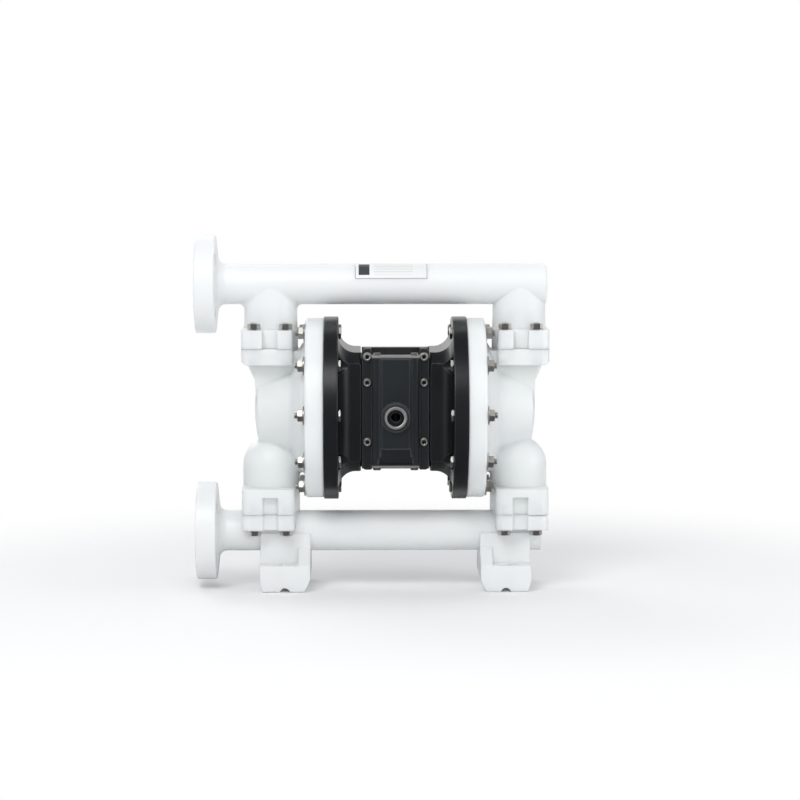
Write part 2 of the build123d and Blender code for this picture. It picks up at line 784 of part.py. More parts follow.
# --- Centre body -------------------------------------------------------------------------
with BuildPart() as center_body:
    with BuildSketch(across(-body_half_width)):
        with BuildLine():
            FilletPolyline(
                (body_pad_front, body_bottom_level),
                (body_back, body_bottom_level),
                (body_back, body_top_level),
                (body_pad_front, body_top_level),
                radius=(0, body_round, body_round, 0),
                close=True,
            )
        make_face()
    extrude(amount=2 * body_half_width)
    with BuildSketch(upright(body_pad_front)):
        with Locations((0, (valve_flange_top + valve_flange_bottom) / 2)):
            Rectangle(2 * body_half_width, valve_flange_top - valve_flange_bottom)
    extrude(amount=-body_pad_thickness)
    with BuildSketch(across(-body_half_width)):
        Circle(rod_bore_radius)
    extrude(amount=2 * body_half_width, mode=Mode.SUBTRACT)
    for face in (-body_half_width, body_half_width):
        inward = -copysign(1, face)
        with BuildSketch(across(face)):
            Circle(rod_bush_radius)
        extrude(amount=inward * rod_bush_length, mode=Mode.SUBTRACT)
        with BuildSketch(across(face)):
            with GridLocations(2 * hub_screw_y, 2 * hub_screw_z, 2, 2):
                Circle(hub_screw_radius)
        extrude(amount=inward * hub_screw_grip, mode=Mode.SUBTRACT)
    with BuildSketch(across(-body_half_width, pilot_level)):
        Circle(pilot_sleeve_radius)
    extrude(amount=2 * body_half_width, mode=Mode.SUBTRACT)
    # Exhaust hole in the back.
    with BuildSketch(upright(body_back, exhaust_level)):
        Circle(exhaust_hole_radius)
    extrude(amount=exhaust_hole_depth, mode=Mode.SUBTRACT)
    # Screw holes for the valve block.
    with BuildSketch(upright(body_pad_front)):
        for screw_level in valve_screw_levels:
            with Locations((-valve_screw_x, screw_level), (valve_screw_x, screw_level)):
                Circle(valve_screw_radius)
    extrude(amount=-valve_screw_grip, mode=Mode.SUBTRACT)
save(center_body, "center_body")

with BuildPart() as air_cap_gasket:
    with BuildSketch(across(body_half_width)):
        with BuildLine():
            FilletPolyline(
                (body_pad_front, body_bottom_level),
                (body_back, body_bottom_level),
                (body_back, body_top_level),
                (body_pad_front, body_top_level),
                radius=(0, body_round, body_round, 0),
                close=True,
            )
        make_face()
        Circle(rod_bush_collar_radius + collar_gap, mode=Mode.SUBTRACT)
        with Locations((0, pilot_level)):
            Circle(pilot_radius + pilot_hole_gap, mode=Mode.SUBTRACT)
        with GridLocations(2 * hub_screw_y, 2 * hub_screw_z, 2, 2):
            Circle(hub_screw_radius + screw_clearance, mode=Mode.SUBTRACT)
    extrude(amount=air_gasket_thickness)
save(air_cap_gasket, "air_cap_gasket_right")
mirrored(air_cap_gasket, "air_cap_gasket_left")

with BuildPart() as rod_bush:
    with BuildSketch(across(body_half_width)):
        Circle(rod_bush_radius)
    extrude(amount=-rod_bush_length)
    with BuildSketch(across(body_half_width)):
        Circle(rod_bush_collar_radius)
    extrude(amount=rod_bush_collar)
    with BuildSketch(across(body_half_width + rod_bush_collar)):
        Circle(rod_radius + rod_running_gap)
    extrude(amount=-rod_bush_collar - rod_bush_length, mode=Mode.SUBTRACT)
save(rod_bush, "rod_bush_right")
mirrored(rod_bush, "rod_bush_left")

with BuildPart() as rod_seals:
    for face in (-1, 1):
        with BuildSketch(across(face * (body_half_width + rod_bush_collar))):
            Circle(rod_bush_collar_radius)
            Circle(rod_radius + rod_running_gap, mode=Mode.SUBTRACT)
        extrude(amount=face * rod_seal_height)
save(rod_seals, "rod_seals")

with BuildPart() as pilot_sleeve:
    with BuildSketch(across(-body_half_width, pilot_level)):
        Circle(pilot_sleeve_radius)
        Circle(pilot_radius + pilot_running_gap, mode=Mode.SUBTRACT)
    extrude(amount=2 * body_half_width)
save(pilot_sleeve, "pilot_sleeve")

with BuildPart() as pilot_rod:
    with BuildSketch(across(-pilot_half_length, pilot_level)):
        Circle(pilot_radius)
    extrude(amount=2 * pilot_half_length)
    chamfer(pilot_rod.edges().filter_by(GeomType.CIRCLE), 0.8)
save(pilot_rod, "pilot_rod")

with BuildPart() as muffler:
    hex_end = body_back + muffler_hex_height
    with BuildSketch(upright(body_back, exhaust_level)):
        Circle(exhaust_hole_radius)
    extrude(amount=muffler_grip)
    with BuildSketch(upright(body_back, exhaust_level)):
        RegularPolygon(muffler_hex / 2, 6, major_radius=False)
    extrude(amount=-muffler_hex_height)
    with BuildSketch(upright(hex_end, exhaust_level)):
        Circle(muffler_radius)
    extrude(amount=-muffler_length)
    fillet(muffler.edges().filter_by(GeomType.CIRCLE).sort_by(Axis.Y)[-1], 5)
    spacing = muffler_length / (muffler_rib_count + 1)
    for rib in range(muffler_rib_count):
        with BuildSketch(upright(hex_end + (rib + 1) * spacing, exhaust_level)):
            Circle(muffler_radius)
            Circle(muffler_radius - muffler_rib_depth, mode=Mode.SUBTRACT)
        extrude(amount=-muffler_rib_width, mode=Mode.SUBTRACT)
save(muffler, "muffler")


# --- Valve block -------------------------------------------------------------------------
def valve_flange_sketch(hole_radius):
    """Outline of the valve block's base with its six screw holes."""
    with Locations((0, (valve_flange_top + valve_flange_bottom) / 2)):
        RectangleRounded(
            2 * valve_half_width, valve_flange_top - valve_flange_bottom, valve_flange_corner
        )
    notch_width = 2 * (end_plate_half_width + plate_notch_gap)
    with Locations((0, tower_top)):
        Rectangle(notch_width, 2 * (valve_flange_top - tower_top) + 1, mode=Mode.SUBTRACT)
    with Locations((0, tower_bottom)):
        Rectangle(notch_width, 2 * (tower_bottom - valve_flange_bottom) + 1, mode=Mode.SUBTRACT)
    with Locations((0, (tower_top + tower_bottom) / 2)):
        Rectangle(notch_width, tower_length)
    for screw_level in valve_screw_levels:
        with Locations((-valve_screw_x, screw_level), (valve_screw_x, screw_level)):
            Circle(hole_radius, mode=Mode.SUBTRACT)


with BuildPart() as valve_gasket:
    with BuildSketch(upright(body_pad_front)):
        valve_flange_sketch(valve_screw_radius + screw_clearance)
    extrude(amount=valve_gasket_thickness)
save(valve_gasket, "valve_gasket")

with BuildPart() as valve_block:
    # Tower of the spool: stepped section with a proud centre panel, run straight up.
    with BuildSketch(level_plane(tower_bottom)):
        with BuildLine():
            FilletPolyline(
                (-tower_half_width, valve_flange_front + 1),
                (-tower_half_width, tower_front),
                (-panel_half_width, tower_front),
                (-panel_half_width, panel_front),
                (panel_half_width, panel_front),
                (panel_half_width, tower_front),
                (tower_half_width, tower_front),
                (tower_half_width, valve_flange_front + 1),
                radius=(0, tower_round, 2, panel_round, panel_round, 2, tower_round, 0),
                close=True,
            )
        make_face()
    extrude(amount=tower_length)
    # Below the panel the face falls back to the bottom plate.
    with BuildSketch(across(-panel_half_width - 3)):
        with BuildLine():
            Polyline(
                (panel_front - 1, panel_bottom),
                (panel_front + 3, panel_bottom),
                (panel_front + 3 + toe_slope, tower_bottom),
                (panel_front - 1, tower_bottom),
                close=True,
            )
        make_face()
    extrude(amount=2 * panel_half_width + 6, mode=Mode.SUBTRACT)
    with BuildSketch(upright(valve_back)):
        valve_flange_sketch(valve_screw_radius + screw_clearance)
    extrude(amount=valve_flange_thickness)
    # Air inlet boss, its socket and the throat into the sleeve.
    with BuildSketch(upright(valve_flange_front, inlet_level)):
        Circle(inlet_boss_radius)
    extrude(amount=valve_flange_front - inlet_boss_front, taper=2)
    with BuildSketch(upright(inlet_bush_front, inlet_level)):
        Circle(inlet_bush_radius)
    extrude(amount=-inlet_bush_length, mode=Mode.SUBTRACT)
    with BuildSketch(upright(inlet_bush_front, inlet_level)):
        Circle(inlet_throat_radius)
    extrude(amount=inlet_bush_front - spool_axis, mode=Mode.SUBTRACT)
    # Sleeve bore, and the holes of the end plates.
    with BuildSketch(level_plane(tower_bottom, 0, spool_axis)):
        Circle(sleeve_radius)
    extrude(amount=tower_length, mode=Mode.SUBTRACT)
    for end, inward in ((tower_bottom, 1), (tower_top, -1)):
        with BuildSketch(level_plane(end, 0, plate_bolt_y)):
            with Locations((-plate_bolt_x, 0), (plate_bolt_x, 0)):
                Circle(plate_screw_radius)
        extrude(amount=inward * plate_screw_grip, mode=Mode.SUBTRACT)
save(valve_block, "valve_block")

with BuildPart() as valve_sleeve:
    with BuildSketch(level_plane(tower_bottom, 0, spool_axis)):
        Circle(sleeve_radius)
        Circle(spool_radius + spool_sliding_gap, mode=Mode.SUBTRACT)
    extrude(amount=tower_length)
save(valve_sleeve, "valve_sleeve")

with BuildPart() as valve_spool:
    spool_bottom = tower_bottom + spool_end_gap
    spool_top = tower_top - spool_end_gap - spool_stroke
    with BuildSketch(level_plane(spool_bottom, 0, spool_axis)):
        Circle(spool_waist_radius)
    extrude(amount=spool_top - spool_bottom)
    land_pitch = (spool_top - spool_bottom - spool_land) / 3
    for land in range(4):
        with BuildSketch(level_plane(spool_bottom + land * land_pitch, 0, spool_axis)):
            Circle(spool_radius)
        extrude(amount=spool_land)
save(valve_spool, "valve_spool")


def end_plate(level, thickness):
    """Plate over one end of the spool's tower, with its two bolt holes."""
    with BuildSketch(level_plane(level)) as outline:
        with Locations((0, (end_plate_back + end_plate_front) / 2)):
            RectangleRounded(2 * end_plate_half_width, end_plate_back - end_plate_front, 3)
        with Locations((-plate_bolt_x, plate_bolt_y), (plate_bolt_x, plate_bolt_y)):
            Circle(plate_screw_radius + screw_clearance, mode=Mode.SUBTRACT)
    extrude(outline.sketch, amount=thickness)


with BuildPart() as valve_plate_gaskets:
    end_plate(tower_top, plate_gasket_thickness)
    end_plate(tower_bottom, -plate_gasket_thickness)
save(valve_plate_gaskets, "valve_plate_gaskets")

with BuildPart() as valve_top_plate:
    end_plate(tower_top + plate_gasket_thickness, end_plate_thickness)
save(valve_top_plate, "valve_top_plate")

with BuildPart() as valve_bottom_plate:
    end_plate(tower_bottom - plate_gasket_thickness, -end_plate_thickness)
save(valve_bottom_plate, "valve_bottom_plate")

with BuildPart() as air_inlet_bush:
    with BuildSketch(upright(inlet_bush_front, inlet_level)):
        Circle(inlet_bush_radius)
    extrude(amount=-inlet_bush_length)
    chamfer(air_inlet_bush.edges().filter_by(GeomType.CIRCLE).sort_by(Axis.Y)[0], 1)
    with BuildSketch(upright(inlet_bush_front, inlet_level)):
        Circle(inlet_hole_radius)
    extrude(amount=-inlet_bush_length, mode=Mode.SUBTRACT)
save(air_inlet_bush, "air_inlet_bush")

# --- Valve seats, their O-rings and the balls --------------------------------------------
valve_places = {
    "discharge_left": (-port_reach, discharge_joint),
    "discharge_right": (port_reach, discharge_joint),
    "suction_left": (-port_reach, suction_joint),
    "suction_right": (port_reach, suction_joint),
}
ring_level = seat_height / 2
for place, (port, joint_level) in valve_places.items():
    port_axis = Axis((port, 0, 0), (0, 0, 1))
    with BuildPart() as ball_seat:
        with BuildSketch(upright(0, joint_level, port)):
            with BuildLine():
                Polyline(
                    (seat_bore_radius, -seat_height),
                    (seat_radius, -seat_height),
                    (seat_radius, -ring_level - seat_ring_section),
                    (seat_radius - 2 * seat_ring_section, -ring_level - seat_ring_section),
                    (seat_radius - 2 * seat_ring_section, seat_ring_section - ring_level),
                    (seat_radius, seat_ring_section - ring_level),
                    (seat_radius, 0),
                    (seat_bore_radius, 0),
                    close=True,
                )
            make_face()
        revolve(axis=port_axis)
        with Locations((port, 0, joint_level + ball_seat_rise)):
            Sphere(ball_radius + ball_seat_gap, mode=Mode.SUBTRACT)
    save(ball_seat, f"ball_seat_{place}")
    with BuildPart() as check_ball:
        with Locations((port, 0, joint_level + ball_seat_rise)):
            Sphere(ball_radius)
    save(check_ball, f"check_ball_{place}")

with BuildPart() as seat_o_rings:
    for port, joint_level in valve_places.values():
        with BuildSketch(upright(0, joint_level, port)):
            with Locations((seat_radius + seat_fit_gap - seat_ring_section, -ring_level)):
                Circle(seat_ring_section - 0.02)
        revolve(axis=Axis((port, 0, 0), (0, 0, 1)))
save(seat_o_rings, "seat_o_rings")

# --- Diaphragm set -----------------------------------------------------------------------
with BuildPart() as diaphragm_rod:
    with BuildSketch(across(-rod_half_length)):
        Circle(rod_radius)
    extrude(amount=2 * rod_half_length)
    chamfer(diaphragm_rod.edges().filter_by(GeomType.CIRCLE), 1)
    for end in (-rod_half_length, rod_half_length):
        with BuildSketch(across(end)):
            Circle(rod_screw_radius)
        extrude(amount=-copysign(rod_screw_length / 2, end), mode=Mode.SUBTRACT)
save(diaphragm_rod, "diaphragm_rod")

with BuildPart() as diaphragm:
    # Flat clamped rim and middle, with one rolling wave between the plates and the rim.
    back = split_reach - diaphragm_thickness / 2
    face = split_reach + diaphragm_thickness / 2
    crest = (diaphragm_plate_radius + diaphragm_grip) / 2
    with BuildSketch(upright()):
        with BuildLine():
            Line((back, rod_screw_radius + screw_hole_gap), (face, rod_screw_radius + screw_hole_gap))
            Line((face, rod_screw_radius + screw_hole_gap), (face, diaphragm_plate_radius))
            ThreePointArc(
                (face, diaphragm_plate_radius),
                (face + diaphragm_bulge, crest),
                (face, diaphragm_grip),
            )
            Line((face, diaphragm_grip), (face, diaphragm_radius))
            Line((face, diaphragm_radius), (back, diaphragm_radius))
            Line((back, diaphragm_radius), (back, diaphragm_grip))
            ThreePointArc(
                (back, diaphragm_grip),
                (back + diaphragm_bulge, crest),
                (back, diaphragm_plate_radius),
            )
            Line((back, diaphragm_plate_radius), (back, rod_screw_radius + screw_hole_gap))
        make_face()
    revolve(axis=lengthwise())
save(diaphragm, "diaphragm_right")
mirrored(diaphragm, "diaphragm_left")

with BuildPart() as inner_plate:
    with BuildSketch(across(rod_half_length)):
        Circle(diaphragm_plate_radius)
    extrude(amount=split_reach - diaphragm_thickness / 2 - rod_half_length)
    fillet(inner_plate.edges().filter_by(GeomType.CIRCLE).sort_by(Axis.X)[0], plate_edge_round)
    with BuildSketch(across(rod_half_length)):
        Circle(rod_screw_radius + screw_hole_gap)
    extrude(amount=inner_plate_thickness * 2, mode=Mode.SUBTRACT)
save(inner_plate, "inner_plate_right")
mirrored(inner_plate, "inner_plate_left")

with BuildPart() as outer_plate:
    with BuildSketch(across(split_reach + diaphragm_thickness / 2)):
        Circle(diaphragm_plate_radius)
    extrude(amount=outer_plate_thickness)
    fillet(outer_plate.edges().filter_by(GeomType.CIRCLE).sort_by(Axis.X)[-1], 2 * plate_edge_round)
    with BuildSketch(across(split_reach + diaphragm_thickness / 2)):
        Circle(rod_screw_radius + screw_hole_gap)
    extrude(amount=outer_plate_thickness, mode=Mode.SUBTRACT)
save(outer_plate, "outer_plate_right")
mirrored(outer_plate, "outer_plate_left")

with BuildPart() as rod_screws:
    head_seat = split_reach + diaphragm_thickness / 2 + outer_plate_thickness
    for side in (-1, 1):
        with BuildSketch(across(side * head_seat)):
            RegularPolygon(rod_screw_head_radius, 6)
        extrude(amount=side * rod_screw_head_height)
        with BuildSketch(across(side * head_seat)):
            Circle(rod_screw_radius - thread_gap)
        extrude(amount=-side * rod_screw_length)
save(rod_screws, "rod_screws")


# --- Fasteners ---------------------------------------------------------------------------
rim_bolt_end = fluid_rim_face + rim_washer_thickness + nut_height + bolt_end
with BuildPart() as cap_bolts:
    with BuildSketch(across(air_rim_face)):
        with PolarLocations(rim_bolt_radius, rim_bolt_count, 180):
            hexagon(bolt_across_flats)
    extrude(amount=-bolt_head_height)
    with BuildSketch(across(air_rim_face)):
        with PolarLocations(rim_bolt_radius, rim_bolt_count, 180):
            Circle(bolt_radius)
    extrude(amount=rim_bolt_end - air_rim_face)
save(cap_bolts, "cap_bolts_right")
mirrored(cap_bolts, "cap_bolts_left")

with BuildPart() as cap_washers:
    with BuildSketch(across(fluid_rim_face)):
        with PolarLocations(rim_bolt_radius, rim_bolt_count, 180):
            Circle(rim_washer_radius)
            Circle(bolt_radius + thread_gap, mode=Mode.SUBTRACT)
    extrude(amount=rim_washer_thickness)
save(cap_washers, "cap_washers_right")
mirrored(cap_washers, "cap_washers_left")

with BuildPart() as cap_nuts:
    with BuildSketch(across(fluid_rim_face + rim_washer_thickness)):
        with PolarLocations(rim_bolt_radius, rim_bolt_count, 180):
            hexagon(bolt_across_flats)
            Circle(bolt_radius + thread_gap, mode=Mode.SUBTRACT)
    extrude(amount=nut_height)
save(cap_nuts, "cap_nuts_right")
mirrored(cap_nuts, "cap_nuts_left")


def joint_places():
    """Places of the eight bolts that hold one manifold, seen from above."""
    return [
        (port + x * joint_bolt_x, y * joint_bolt_y)
        for port in ports
        for x in (-1, 1)
        for y in (-1, 1)
    ]


discharge_head_level = discharge_joint - discharge_cap_flange + joint_head_pocket
discharge_nut_level = discharge_joint + discharge_pipe_flange
with BuildPart() as discharge_bolts:
    with BuildSketch(level_plane(discharge_head_level)):
        with Locations(*joint_places()):
            hexagon(bolt_across_flats)
    extrude(amount=-bolt_head_height)
    with BuildSketch(level_plane(discharge_head_level)):
        with Locations(*joint_places()):
            Circle(bolt_radius)
    grip = discharge_nut_level - discharge_head_level
    extrude(amount=grip + joint_washer_thickness + nut_height + bolt_end)
save(discharge_bolts, "discharge_bolts")

with BuildPart() as discharge_washers:
    with BuildSketch(level_plane(discharge_nut_level)):
        with Locations(*joint_places()):
            Circle(joint_washer_radius)
            Circle(bolt_radius + thread_gap, mode=Mode.SUBTRACT)
    extrude(amount=joint_washer_thickness)
save(discharge_washers, "discharge_washers")

with BuildPart() as discharge_nuts:
    with BuildSketch(level_plane(discharge_nut_level + joint_washer_thickness)):
        with Locations(*joint_places()):
            hexagon(bolt_across_flats)
            Circle(bolt_radius + thread_gap, mode=Mode.SUBTRACT)
    extrude(amount=nut_height)
save(discharge_nuts, "discharge_nuts")

suction_head_level = suction_joint - suction_pipe_flange - joint_washer_thickness
with BuildPart() as suction_bolts:
    with BuildSketch(level_plane(suction_head_level)):
        with Locations(*joint_places()):
            hexagon(bolt_across_flats)
    extrude(amount=-bolt_head_height)
    with BuildSketch(level_plane(suction_head_level)):
        with Locations(*joint_places()):
            Circle(bolt_radius)
    extrude(amount=joint_washer_thickness + suction_pipe_flange + insert_height)
save(suction_bolts, "suction_bolts")

with BuildPart() as suction_washers:
    with BuildSketch(level_plane(suction_head_level)):
        with Locations(*joint_places()):
            Circle(joint_washer_radius)
            Circle(bolt_radius + thread_gap, mode=Mode.SUBTRACT)
    extrude(amount=joint_washer_thickness)
save(suction_washers, "suction_washers")

with BuildPart() as suction_inserts:
    with BuildSketch(level_plane(suction_joint)):
        with Locations(*joint_places()):
            Circle(insert_radius)
            Circle(bolt_radius + thread_gap, mode=Mode.SUBTRACT)
    extrude(amount=insert_height)
save(suction_inserts, "suction_inserts")

with BuildPart() as valve_screws:
    for screw_level in valve_screw_levels:
        for x in (-valve_screw_x, valve_screw_x):
            with BuildSketch(upright(valve_flange_front, screw_level, x)):
                Circle(valve_screw_head_radius)
            extrude(amount=valve_screw_head_height)
            with BuildSketch(upright(valve_flange_front, screw_level, x)):
                Circle(valve_screw_radius - thread_gap)
            extrude(amount=-valve_flange_thickness - valve_gasket_thickness - valve_screw_grip)
            with BuildSketch(
                upright(valve_flange_front - valve_screw_head_height, screw_level, x)
            ):
                hexagon(valve_screw_socket)
            extrude(amount=-valve_screw_head_height * 0.6, mode=Mode.SUBTRACT)
    crowns = valve_screws.edges().filter_by(GeomType.CIRCLE).group_by(Axis.Y)[0]
    fillet(crowns, 2.2)
save(valve_screws, "valve_screws")

with BuildPart() as plate_bolts:
    for end, outward in ((tower_bottom, -1), (tower_top, 1)):
        seat = end + outward * (plate_gasket_thickness + end_plate_thickness)
        with BuildSketch(level_plane(seat, 0, plate_bolt_y)):
            with Locations((-plate_bolt_x, 0), (plate_bolt_x, 0)):
                hexagon(plate_screw_flats)
        extrude(amount=outward * plate_screw_head_height)
        with BuildSketch(level_plane(seat, 0, plate_bolt_y)):
            with Locations((-plate_bolt_x, 0), (plate_bolt_x, 0)):
                Circle(plate_screw_radius - thread_gap)
        extrude(amount=-outward * plate_screw_grip)
save(plate_bolts, "plate_bolts")

with BuildPart() as air_cap_screws:
    with BuildSketch(across(hub_floor)):
        with GridLocations(2 * hub_screw_y, 2 * hub_screw_z, 2, 2):
            Circle(hub_screw_head_radius)
    extrude(amount=hub_screw_head_height)
    with BuildSketch(across(hub_floor)):
        with GridLocations(2 * hub_screw_y, 2 * hub_screw_z, 2, 2):
            Circle(hub_screw_radius - thread_gap)
    extrude(amount=-hub_end_wall - air_gasket_thickness - hub_screw_grip)
save(air_cap_screws, "air_cap_screws_right")
mirrored(air_cap_screws, "air_cap_screws_left")
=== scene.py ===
from math import cos, pi, radians, sin

import bpy
import numpy as np
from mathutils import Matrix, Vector


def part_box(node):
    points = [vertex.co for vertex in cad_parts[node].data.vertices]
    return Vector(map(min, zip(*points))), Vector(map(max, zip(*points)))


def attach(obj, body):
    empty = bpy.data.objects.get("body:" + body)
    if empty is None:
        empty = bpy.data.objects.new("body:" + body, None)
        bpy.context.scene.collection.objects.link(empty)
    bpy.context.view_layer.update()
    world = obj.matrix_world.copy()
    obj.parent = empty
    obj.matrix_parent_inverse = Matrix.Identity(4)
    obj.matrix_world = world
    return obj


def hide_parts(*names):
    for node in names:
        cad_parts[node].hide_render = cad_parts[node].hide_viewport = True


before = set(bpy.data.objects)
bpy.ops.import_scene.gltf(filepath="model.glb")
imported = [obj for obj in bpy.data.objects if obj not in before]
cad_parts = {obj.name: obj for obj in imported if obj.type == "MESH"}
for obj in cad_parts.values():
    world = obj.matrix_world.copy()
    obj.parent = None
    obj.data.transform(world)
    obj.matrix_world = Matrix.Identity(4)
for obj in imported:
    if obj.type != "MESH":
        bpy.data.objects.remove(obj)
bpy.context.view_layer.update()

# --- The view ----------------------------------------------------------------------------
# A long lens almost square to the front of the pump, a little above its axis. All lengths
# in this file are metres.
pump_axis = 0.276
view_distance = 3.92
view_pitch = radians(5.4)
view_turn = radians(-0.9)
view_aim = Vector((0.0078, 0.0, pump_axis + 0.0115))
sensor_width = 36.0
focal_pixels = 2550.0
frame_pixels = 800.0

camera_data = bpy.data.cameras.new("view")
camera_data.sensor_width = sensor_width
camera_data.lens = sensor_width * focal_pixels / frame_pixels
camera_data.clip_end = 50.0
camera = bpy.data.objects.new("view", camera_data)
bpy.context.collection.objects.link(camera)
towards = Vector((sin(view_turn) * cos(view_pitch), -cos(view_turn) * cos(view_pitch),
                  sin(view_pitch)))
camera.location = view_aim + view_distance * towards
camera.rotation_euler = (-towards).to_track_quat("-Z", "Y").to_euler()
bpy.context.scene.camera = camera
bpy.context.scene.view_settings.view_transform = "Standard"


# --- Floor, light and backdrop -----------------------------------------------------------
# A pale studio floor that fades into a white backdrop and keeps the pump's soft shadow,
# under five broad soft lamps: key, top, front fill, side and rim.
def shader(tree, kind, sockets=None, **settings):
    """One shader node. Settings are its properties, sockets map inputs to values or outputs."""
    made = tree.nodes.new(kind)
    for name, value in settings.items():
        setattr(made, name, value)
    for name, value in (sockets or {}).items():
        if isinstance(value, bpy.types.NodeSocket):
            tree.links.new(value, made.inputs[name])
        else:
            made.inputs[name].default_value = value
    return made


def blank_material(name):
    """A new material with an empty node tree, and its output node."""
    material = bpy.data.materials.new(name)
    material.use_nodes = True
    material.node_tree.nodes.clear()
    return material, material.node_tree, material.node_tree.nodes.new("ShaderNodeOutputMaterial")


def mesh_piece(name, points, faces, smooth_angle=None):
    """A mesh object at the origin from arrays of points and faces."""
    mesh = bpy.data.meshes.new(name)
    mesh.from_pydata(np.asarray(points).tolist(), [], np.asarray(faces).tolist())
    mesh.update()
    piece = bpy.data.objects.new(name, mesh)
    bpy.context.collection.objects.link(piece)
    if smooth_angle is not None:
        mesh.shade_smooth()
        mesh.set_sharp_from_angle(angle=radians(smooth_angle))
    return piece


floor_reach = 9.0
floor_glow = 0.06
floor_colour = (0.88, 0.88, 0.88, 1)
floor_drop = 0.0004        # how far the floor lies below the feet
pure_white = (1, 1, 1, 1)
fade_start, fade_end = 0.42, 1.05
floor_material, tree, output = blank_material("studio_floor")
rays = shader(tree, "ShaderNodeLightPath")
seen = shader(tree, "ShaderNodeMath",
              {0: rays.outputs["Is Camera Ray"], 1: rays.outputs["Is Glossy Ray"]},
              operation="MAXIMUM")
glow = shader(tree, "ShaderNodeMath", {0: seen.outputs[0], 1: floor_glow}, operation="MULTIPLY")
lit = shader(tree, "ShaderNodeBsdfDiffuse", {"Color": floor_colour})
shine = shader(tree, "ShaderNodeEmission", {"Color": pure_white, "Strength": glow.outputs[0]})
both = shader(tree, "ShaderNodeAddShader", {0: lit.outputs[0], 1: shine.outputs[0]})
place = shader(tree, "ShaderNodeTexCoord").outputs["Object"]
away = shader(tree, "ShaderNodeVectorMath", {0: place}, operation="LENGTH")
fade = shader(tree, "ShaderNodeMapRange",
              {"Value": away.outputs["Value"], "From Min": fade_start, "From Max": fade_end},
              interpolation_type="SMOOTHSTEP")
far = shader(tree, "ShaderNodeMath", {0: fade.outputs[0], 1: seen.outputs[0]}, operation="MULTIPLY")
white = shader(tree, "ShaderNodeEmission", {"Color": pure_white, "Strength": 1.0})
faded = shader(tree, "ShaderNodeMixShader",
               {0: far.outputs[0], 1: both.outputs[0], 2: white.outputs[0]})
tree.links.new(faded.outputs[0], output.inputs["Surface"])
floor_turns = 64
turn = np.linspace(0, 2 * pi, floor_turns, endpoint=False)
rim = np.stack([floor_reach * np.cos(turn), floor_reach * np.sin(turn),
                np.full(floor_turns, -floor_drop)], 1)
floor = mesh_piece("studio_floor", rim, [list(range(floor_turns))])
floor.data.materials.append(floor_material)

world = bpy.data.worlds.new("studio")
bpy.context.scene.world = world
world.use_nodes = True
tree = world.node_tree
tree.nodes.clear()
rays = shader(tree, "ShaderNodeLightPath")
straight = shader(tree, "ShaderNodeMath",
                  {0: rays.outputs["Is Camera Ray"], 1: rays.outputs["Is Glossy Ray"]},
                  operation="MAXIMUM")
through = shader(tree, "ShaderNodeMath",
                 {0: straight.outputs[0], 1: rays.outputs["Is Transmission Ray"]},
                 operation="MAXIMUM")
ambient_colour, ambient_strength = (0.93, 0.96, 1.0, 1), 0.47
ambient = shader(tree, "ShaderNodeBackground",
                 {"Color": ambient_colour, "Strength": ambient_strength})
backdrop = shader(tree, "ShaderNodeBackground", {"Color": pure_white, "Strength": 1.0})
mixed = shader(tree, "ShaderNodeMixShader",
               {0: through.outputs[0], 1: ambient.outputs[0], 2: backdrop.outputs[0]})
world_output = tree.nodes.new("ShaderNodeOutputWorld")
tree.links.new(mixed.outputs[0], world_output.inputs["Surface"])


def soft_light(name, place, size, power, in_gloss):
    """A square area light that faces the pump. One that isn't in gloss shows in no reflection."""
    lamp = bpy.data.lights.new(name, "AREA")
    lamp.size = size
    lamp.energy = power
    holder = bpy.data.objects.new(name, lamp)
    holder.location = place
    holder.rotation_euler = (Vector(place) - view_aim).to_track_quat("Z", "Y").to_euler()
    holder.visible_glossy = in_gloss
    bpy.context.collection.objects.link(holder)


# Each lamp has its place, its width in metres, its power in watts and whether gloss shows it.
for lamp_row in (("key_light", (-0.7, -1.9, 2.1), 1.2, 24, True),
                 ("top_light", (0.1, 0.1, 2.6), 1.4, 11, False),
                 ("front_fill", (0.3, -2.6, 0.6), 1.8, 17, False),
                 ("side_light", (2.2, -1.0, 0.9), 1.4, 10, True),
                 ("rim_light", (-1.2, 1.8, 1.6), 1.4, 13, True)):
    soft_light(*lamp_row)

# A dark card lies under and in front of the pump and bends up and over it, seen only in shiny
# surfaces: it keeps metal and black plastic from washing out in the white surroundings. Its
# profile is a line along the floor and then a circle's arc.
card_reach, card_half_width, card_start = 3.1, 3.2, 0.3
card_strength = 0.12
card_low, card_high = radians(-5), radians(120)
card_material, tree, output = blank_material("dark_card")
dark = shader(tree, "ShaderNodeEmission", {"Color": pure_white, "Strength": card_strength})
tree.links.new(dark.outputs[0], output.inputs["Surface"])
card_rows = 24
angle = np.linspace(card_low, card_high, card_rows - 1)
profile = np.stack([-card_reach * np.cos(angle), pump_axis + card_reach * np.sin(angle)], 1)
profile = np.concatenate([[(card_start, profile[0, 1])], profile])
edges = [np.insert(profile, 0, x, axis=1) for x in (-card_half_width, card_half_width)]
row = np.arange(card_rows - 1)
card = mesh_piece("dark_card", np.concatenate(edges),
                  np.stack([row, row + card_rows, row + card_rows + 1, row + 1], 1))
card.data.materials.append(card_material)
for kind in ("camera", "diffuse", "transmission", "shadow", "volume_scatter"):
    setattr(card, f"visible_{kind}", False)

# --- White wet end -----------------------------------------------------------------------
# The two manifolds and the two fluid caps are injection moulded from natural polypropylene:
# milky, a little translucent, with a faint mottle and a fine grain from the mould.
pipe_heights = {"discharge_manifold": pump_axis + 0.190, "suction_manifold": pump_axis - 0.190}
flange_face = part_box("discharge_manifold")[0][0]
groove_pitch, groove_reach, groove_skin = 0.0016, 0.044, 0.0006


